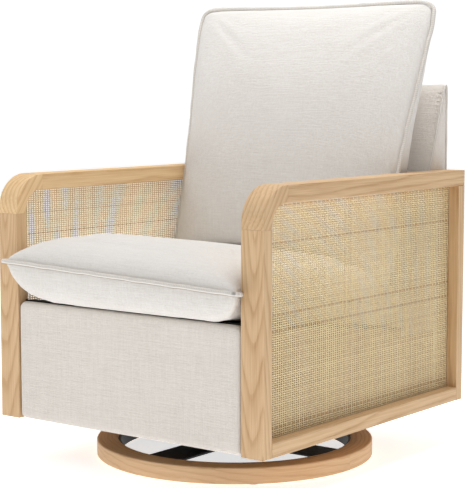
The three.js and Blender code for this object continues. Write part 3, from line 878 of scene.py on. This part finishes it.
def seat_top_at(x, y):
    """The top of the filled seat cushion below any place: the highest point in each square of a
    plan, averaged with the squares beside it."""
    low = seat_places[:, :2].min(0) - 3 * plan_cell
    squares = ((seat_places[:, :2] - low) / plan_cell).astype(int)
    table = np.zeros(squares.max(0) + 4)
    np.maximum.at(table, (squares[:, 0], squares[:, 1]), seat_places[:, 2])
    asked = np.stack([x, y], -1)
    at = np.clip((asked - low) / plan_cell - 0.5, 0, np.array(table.shape) - 2.001)
    base = at.astype(int)
    part = at - base
    mixed = [table[base[:, 0] + i, base[:, 1] + j]
             * np.abs(1 - i - part[:, 0]) * np.abs(1 - j - part[:, 1])
             for i in (0, 1) for j in (0, 1)]
    return sum(mixed)


# %% [markdown]
# ## The back cushion
# It is made like the seat cushion, in a seam surface that leans back. It is wider at the top than
# between the arms, and its lower corners droop over the crown of the seat. The front is softly
# domed. The rear is deep and square at its foot, where the filling settles, and its upper corners
# are slim.

# %% Shape of the back cushion
back_foot = np.array([150, 452]) * MM      # y and z of the seam at the middle of the lower edge
back_top = np.array([305, 1014]) * MM
back_lean = np.arctan2(*(back_top - back_foot))
back_ahead, back_behind, back_swell = 56 * MM, 110 * MM, 9 * MM
corner_droop, top_dip, shoulder_drop = 70 * MM, 5 * MM, 13 * MM
width_at = np.array([0, 0.1, 0.31, 0.51, 0.71, 0.93, 1.0])
half_width = np.array([300, 302, 299, 307, 320, 330, 328]) * MM


def back_seam(u, w):
    """The seam surface: w runs from 0 at the foot to 1 at the top, u from side to side. The foot
    droops with the fourth power of u. The top dips in its middle, and its shoulders are round."""
    y = back_foot[0] + (back_top - back_foot)[0] * w
    droop = corner_droop * np.abs(u) ** 4 * np.clip(1 - 2.4 * w, 0, 1) ** 2
    near_top = np.clip(4 * w - 3, 0, 1)
    dip = top_dip * np.cos(np.pi * u / 2) ** 2 * near_top
    shoulder = shoulder_drop * np.abs(u) ** 24 * near_top
    z = back_foot[1] + (back_top - back_foot)[1] * w - droop - dip - shoulder
    return np.stack([u * np.interp(w, width_at, half_width), y, z], -1)


back_normal = np.array([0, -np.cos(back_lean), np.sin(back_lean)])
frame_low, frame_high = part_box("back_frame")
frame_face_slope, frame_face_foot_z = 0.34, 285 * MM


def frame_front_y(z):
    """The sloping front face of the back frame, which the cushion leans on."""
    return frame_low.y + frame_face_slope * (z - frame_face_foot_z)


def back_cushion_shell():
    """Front and rear panel as two grids, set off from the seam surface along its normal."""
    u, v = cushion_grid()
    seam = back_seam(u, (v + 1) / 2)
    front = back_ahead * pillow_height(u, v, 2.4, 3.0, 2.4)[..., None]
    heights = [-1, 0.1, 1]
    side_power = np.interp(v, heights, [14, 6, 2.6])
    root = np.interp(v, heights, [0.42, 0.55, 0.6])
    rear = back_behind * pillow_height(u, v, side_power, 6, 6, root)[..., None]
    return two_panels("back_cushion_cover", seam + front * back_normal,
                      seam - rear * back_normal)


def back_height(place):
    """How far a point stands in front of the plane of the seam."""
    return (place - [0, back_foot[0], back_foot[1]]) @ back_normal


def back_loop():
    """The corner points of the seam's path, round the back cushion and over the seat."""
    edge = np.linspace(-1, 1, 41)
    one = np.ones_like(edge)
    loop = np.concatenate([back_seam(edge, 0 * one), back_seam(one, (edge + 1) / 2)[1:],
                           back_seam(-edge, one)[1:], back_seam(-one, (1 - edge) / 2)[1:-1]])
    loop[:, 2] = np.maximum(loop[:, 2], seat_top_at(loop[:, 0], loop[:, 1]) + 4 * MM)
    return loop


# %% Fill the back cushion
back_cushion = back_cushion_shell()
fill_cloth(back_cushion, cloth_square, cushion_pressure, back_swell,
           lambda place: np.abs(back_height(place)) < seam_band)
back_places = points_of(back_cushion)
seat_top = seat_top_at(back_places[:, 0], back_places[:, 1])
back_places[:, 2] = np.maximum(back_places[:, 2], seat_top + 0.5 * MM)
arm_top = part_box("right_arm_top_rail")[1].z
low_room = np.where(back_places[:, 2] < arm_top + 2 * MM, arm_inner - arm_gap, 1.0)
back_places[:, 0] = np.clip(back_places[:, 0], -low_room, low_room)
rest_y = frame_front_y(back_places[:, 2]) - 3 * MM
back_places[:, 1] = np.where(back_places[:, 2] < frame_high.z,
                             np.minimum(back_places[:, 1], rest_y), back_places[:, 1])
move_points(back_cushion, back_places)
subdivide(back_cushion)
dress(back_cushion, cover_linen, "cushion_cover", "seat_carriage", 0.8, "back_cushion")
sew_welt("back_cushion_welt", back_loop(), -back_normal, 9 * MM, 7.5 * MM,
         seam_cloth, passes=6, ripple=0.5 * MM, nudge=2.5 * MM)
print("back cushion:", len(back_cushion.data.vertices), "points")


# %% [markdown]
# ## Upholstered panels
# The front panel and the back frame are boards under a thin layer of wadding and stretched linen.
# The board's own shape is right, so each cover starts as a merged copy of it. The edges are
# rounded, the shell is rebuilt in even squares, and a light filling lifts the faces a millimetre
# or two, which no bevel alone would do. The box sides are bare plywood, in a dark tone that also
# paints the shade in the gap behind the cane, and the outside back is a flat panel with linen
# pulled over it.

# %% Cover a board
wadding_pressure = 2.0


def cover_board(node, name, rounding, voxel, cap, material, fill):
    """A padded cover on a merged copy of a board, lifted by at most cap."""
    piece = merged_copy(node, name)
    bevel_edges(piece, rounding, 4)
    apply_modifiers(piece)
    fill_cloth(piece, voxel, wadding_pressure, cap,
               lambda place: np.zeros(len(place), bool))
    subdivide(piece)
    dress(piece, material, "upholstery", body_of[node], fill, node)


cover_board("front_panel", "front_panel_cover", 7 * MM, 6 * MM, 1.6 * MM, shaded_frame_linen, 0.5)
cover_board("back_frame", "back_frame_cover", 9 * MM, 7 * MM, 2.5 * MM, shaded_frame_linen, 0.6)
# Plywood in a dark tone: part of the darkness is painted shade for the narrow gap between box side
# and cane.
plywood = wood("plywood", (0, 1, 0), (0.4, 0.1, 0.3), 0.02, 0.007, (184, 142, 102),
               (150, 110, 74))
for side in sides:
    ease(f"{side}_side_panel", plywood, 1.5 * MM)
ease("outside_back_panel", shaded_frame_linen, 1.2 * MM)


# %% Seams of the back frame
def frame_seams():
    """One closed welt on each side of the back frame: up the front corner, over the top and down
    the rear corner."""
    foot, top = 300 * MM, frame_high.z - 7 * MM
    rear = frame_high.y - 4 * MM
    for side, sign in sides.items():
        x = sign * (frame_high.x - 2 * MM)
        corners = np.array([[x, frame_front_y(foot), foot], [x, frame_front_y(top), top + 3 * MM],
                            [x, rear, top + 3 * MM], [x, rear, foot]])
        sew_welt(f"{side}_back_frame_welt", corners, (sign, 0, 0), 4.5 * MM, 4.5 * MM,
                 seam_cloth, passes=4, ripple=0.25 * MM)


frame_seams()


# %% Gathers beside the seam
fold_radius, fold_length, fold_pitch = 1.5 * MM, 15 * MM, 9.5 * MM
fold_inset, first_fold = 8 * MM, 22 * MM


def gathers(name, count, sign):
    """Short soft folds that run square to the corner seam near its top, each a long drop."""
    corners = 6
    around = np.linspace(0, 2 * np.pi, corners, endpoint=False)
    along = np.linspace(0, 1, 6)
    radius = fold_radius * np.sin(np.pi * np.clip(along, 0.02, 0.98)) ** 0.7
    z = frame_high.z - first_fold - np.arange(count) * fold_pitch
    x = sign * (frame_high.x - fold_inset - fold_length * along)
    y = frame_front_y(z) - 0.5 * MM
    grid = np.empty((count, len(along), corners, 3))
    grid[..., 0] = x[None, :, None]
    grid[..., 1] = y[:, None, None] + radius[None, :, None] * np.cos(around)
    grid[..., 2] = z[:, None, None] + radius[None, :, None] * np.sin(around)
    one = grid_quads(len(along), corners, columns_close=True)
    size = len(along) * corners
    faces = (one[None] + (np.arange(count) * size)[:, None, None]).reshape(-1, 4).tolist()
    for first in range(0, count * size, size):
        faces.append(list(range(first, first + corners)))
        faces.append(list(range(first + size - corners, first + size))[::-1])
    piece = make_piece(name, grid, faces)
    piece.data.materials.append(shaded_frame_linen)
    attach(piece, "seat_carriage")


for side, sign in sides.items():
    gathers(f"{side}_back_frame_gathers", 8, sign)
print("back frame: welts and gathers sewn")


# %% [markdown]
# ## Base, mechanism and springs
# The ring is glued up from curved ash segments, so its grain runs round it and starts anew at
# each joint. Angle times radius is the distance along the grain. Steel parts are painted black or
# plated, and each keeps its cut shape with a fine edge.

# %% Ring of ash
base_segments, base_radius, base_gap = 6, 290 * MM, 7.5 * MM    # the gap between growth rings


def ring_wood():
    """Wood whose grain runs round the axis: polar angle times the ring's radius along it."""
    material, start = new_material("ash_ring")
    place = start.node("SeparateXYZ", {}, {0: start.node("TexCoord", output="Object")})
    x, y, z = (Wire(start.tree, place.output.node.outputs[k]) for k in range(3))
    turn = y.math("ARCTAN2", y, x) / (2 * math.pi) * base_segments
    number = turn.math("FLOOR", turn)
    length = (turn - number) * (2 * math.pi * base_radius / base_segments)
    radius = (x ** 2 + y ** 2) ** 0.5
    seed = number * 5.3
    board = (length, radius, z)
    wander = grain_noise(start, board, 5, 16, 3.0, seed) - 0.5
    depth = radius - 0.2 + length * 0.04
    ring = ((depth ** 2 + (z + 0.05) ** 2) ** 0.5 + wander * 0.02) / base_gap
    line = start.node("ValToRGB", {"stops": ring_stops}, {0: ring.fraction()})
    fibres = grain_noise(start, board, 9, 420, 2.0, seed)
    amount = line * 0.5 + (fibres - 0.5) * 1.1
    base = mix(step(start, amount, -0.15, 0.85), colour(244, 206, 162), colour(216, 170, 122))
    paint(start, base, 0.46 + fibres * 0.2, amount * -1, 0.0004)
    return material


ease("base_ring", ring_wood(), 1.0 * MM)


# %% Metal, rubber, felt, frame wood and deck cloth
def plain_finish(name, first, second, roughness, grain, depth=0.0002, **constants):
    """A finish with fine mottling, a second tone in soft patches and a slight texture."""
    material, start = new_material(name)
    fine = noise(start, place_on(start), grain, 2.0)
    patches = noise(start, place_on(start), 14, 3.0)
    base = mix(step(start, patches + (fine - 0.5) * 0.6, 0.3, 0.7), colour(*first),
               colour(*second))
    paint(start, base, roughness + (fine - 0.5) * 0.25, fine, depth, **constants)
    return material


black_steel = plain_finish("black_steel", (30, 31, 33), (40, 41, 44), 0.5, 900, Metallic=0.4)
zinc_steel = plain_finish("zinc_steel", (168, 172, 176), (186, 188, 190), 0.36, 500,
                          Metallic=0.9)
spring_steel = plain_finish("spring_steel", (92, 96, 101), (112, 114, 118), 0.42, 600,
                            Metallic=0.9)
rubber = plain_finish("bumper_rubber", (26, 26, 27), (36, 36, 36), 0.85, 700)
felt = plain_finish("felt", (120, 114, 106), (96, 91, 85), 0.97, 1500, 0.0006)
deck_cloth = plain_finish("deck_cloth", (46, 45, 44), (36, 35, 35), 0.92, 1300, 0.0005)

# Each finish: its material, and the width of its eased edges in millimetres.
finishes = {
    "black_steel": (black_steel, 0.8), "zinc_steel": (zinc_steel, 0.6),
    "bumper_rubber": (rubber, 1.5), "felt": (felt, 0.6),
}
hardware = {
    "black_steel": ["base_hoop", "base_cross", "swivel_plate", "cradle_plate",
                    "front_cradle_frame", "rear_cradle_frame", "right_carriage_rail",
                    "left_carriage_rail", "front_right_link", "front_left_link",
                    "rear_right_link", "rear_left_link", "bearing_plate"],
    "zinc_steel": ["king_bolt", "bearing_race", "front_pivot_rod", "rear_pivot_rod",
                   "right_arm_bolt_front", "right_arm_bolt_rear", "left_arm_bolt_front",
                   "left_arm_bolt_rear"],
    "bumper_rubber": ["front_stop_bumper", "rear_stop_bumper"],
    "felt": [f"foot_pad_{number}" for number in range(1, 5)],
}
for slot, nodes in hardware.items():
    material, width = finishes[slot]
    for node in nodes:
        ease(node, material, width * MM)
pine = wood("pine", (1, 0, 0), (0.02, 0.3, 0.1), 0.02, 0.006, (214, 180, 128), (186, 146, 96))
for node in ("front_top_rail", "rear_top_rail", "front_cross_rail", "rear_cross_rail",
             "rear_bottom_rail"):
    ease(node, pine, 1.5 * MM)
ease("seat_deck", deck_cloth, 0.8 * MM)
for number in range(1, 5):
    ease(f"seat_spring_{number}", spring_steel, 0.1 * MM)
print("hardware:", sum(len(nodes) for nodes in hardware.values()), "pieces finished")
